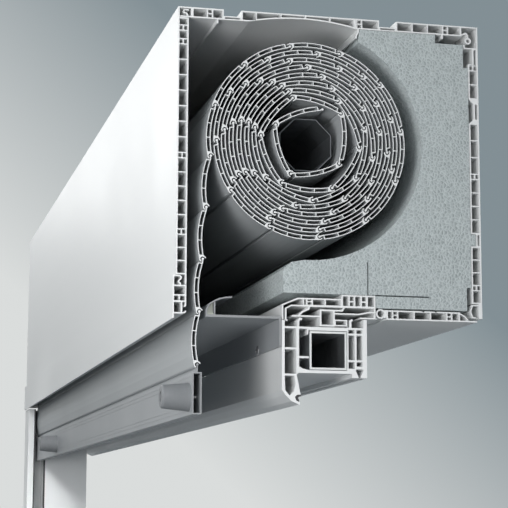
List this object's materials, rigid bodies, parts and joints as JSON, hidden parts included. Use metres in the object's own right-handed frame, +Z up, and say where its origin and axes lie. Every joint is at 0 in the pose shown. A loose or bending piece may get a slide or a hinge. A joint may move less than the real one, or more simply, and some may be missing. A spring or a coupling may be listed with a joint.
{
  "type": "roller shutter",
  "caption": "Box roller shutter on a window head, shown in section: hollow panels around a wound slat curtain, foam liner, octagonal tube with drive, guide rail and hinged service cover.",
  "frame": {"origin": "middle of the box top, on the face that meets the lintel", "axes": "+X from the street face to the room, +Y along the box from the open end to the end cap, +Z up"},
  "size_m": [0.2325, 1.0816, 0.4298],
  "materials": {
    "pvc_white": "smooth, satin",
    "slat_pvc": "smooth, satin",
    "foam_grey": "cut bead foam",
    "zinc_steel": "zinc coated",
    "screw_steel": "plated",
    "seal_rubber": "matt",
    "buffer_grey": "matt",
    "pile_grey": "dense pile",
    "drive_plastic": "matt",
    "alu_grey": "grey coated",
    "drive_metal": "painted tube"
  },
  "bodies": {
    "box": {"upper_fascia_panel": "pvc_white", "lower_fascia_profile": "pvc_white", "top_panel": "pvc_white", "rear_panel": "pvc_white", "insulation_block": "foam_grey", "frame_adapter": "pvc_white", "frame_head": "pvc_white", "frame_head_steel": "zinc_steel", "rebate_gasket": "seal_rubber", "soffit_profile": "alu_grey", "soffit_seal": "pile_grey", "soffit_screws": "screw_steel", "guide_rail": "pvc_white", "rail_street_seal": "seal_rubber", "rail_room_seal": "seal_rubber", "rail_screws": "screw_steel", "far_end_cap": "pvc_white", "drive_bracket": "zinc_steel", "bracket_screws": "screw_steel", "drive_head": "drive_plastic", "drive_body": "drive_metal"},
    "roll": {"drive_shaft": "zinc_steel", "drive_wheel": "drive_plastic", "drive_wheel_screws": "screw_steel", "drive_crown": "drive_plastic", "roller_tube": "zinc_steel", "roller_tube_far": "zinc_steel", "curtain_hangers": "zinc_steel", "wound_slats_turn_1": "slat_pvc", "wound_slats_turn_2": "slat_pvc", "wound_slats_turn_3": "slat_pvc", "wound_slats_turn_4": "slat_pvc", "wound_slats_turn_5": "slat_pvc", "wound_slats_turn_6": "slat_pvc", "wound_slats_turn_7": "slat_pvc", "wound_slats_turn_8": "slat_pvc"},
    "tail": {"tail_slat": "slat_pvc"},
    "curtain": {"hanging_slat_1": "slat_pvc", "hanging_slat_2": "slat_pvc", "hanging_slat_3": "slat_pvc", "bottom_bar": "alu_grey", "bottom_bar_plug": "pvc_white", "stop_buffer_near": "buffer_grey", "stop_buffer_far": "buffer_grey", "buffer_screws": "screw_steel"},
    "cover": {"inspection_cover": "pvc_white"}
  },
  "joints": [
    {"name": "roll_turn", "type": "hinge", "parent": "box", "child": "roll", "pos_m": [-0.017, 0, -0.094], "axis": [0, 1, 0], "range_deg": [-4, 30]},
    {"name": "tail_swing", "type": "hinge", "parent": "roll", "child": "tail", "pos_m": [-0.08826, 0, -0.10734], "axis": [0, 1, 0], "range_deg": [-27.7, 3.8]},
    {"name": "curtain_swing", "type": "hinge", "parent": "tail", "child": "curtain", "pos_m": [-0.09115, 0, -0.14422], "axis": [0, 1, 0], "range_deg": [-2.5, 0.4]},
    {"name": "cover_hinge", "type": "hinge", "parent": "box", "child": "cover", "pos_m": [0.0359, 0, -0.2159], "axis": [0, 1, 0], "range_deg": [0, 90]}
  ],
  "couplings": [
    {"joint": "tail_swing", "follows": "roll_turn", "ratio": -0.92},
    {"joint": "curtain_swing", "follows": "roll_turn", "ratio": -0.08}
  ]
}
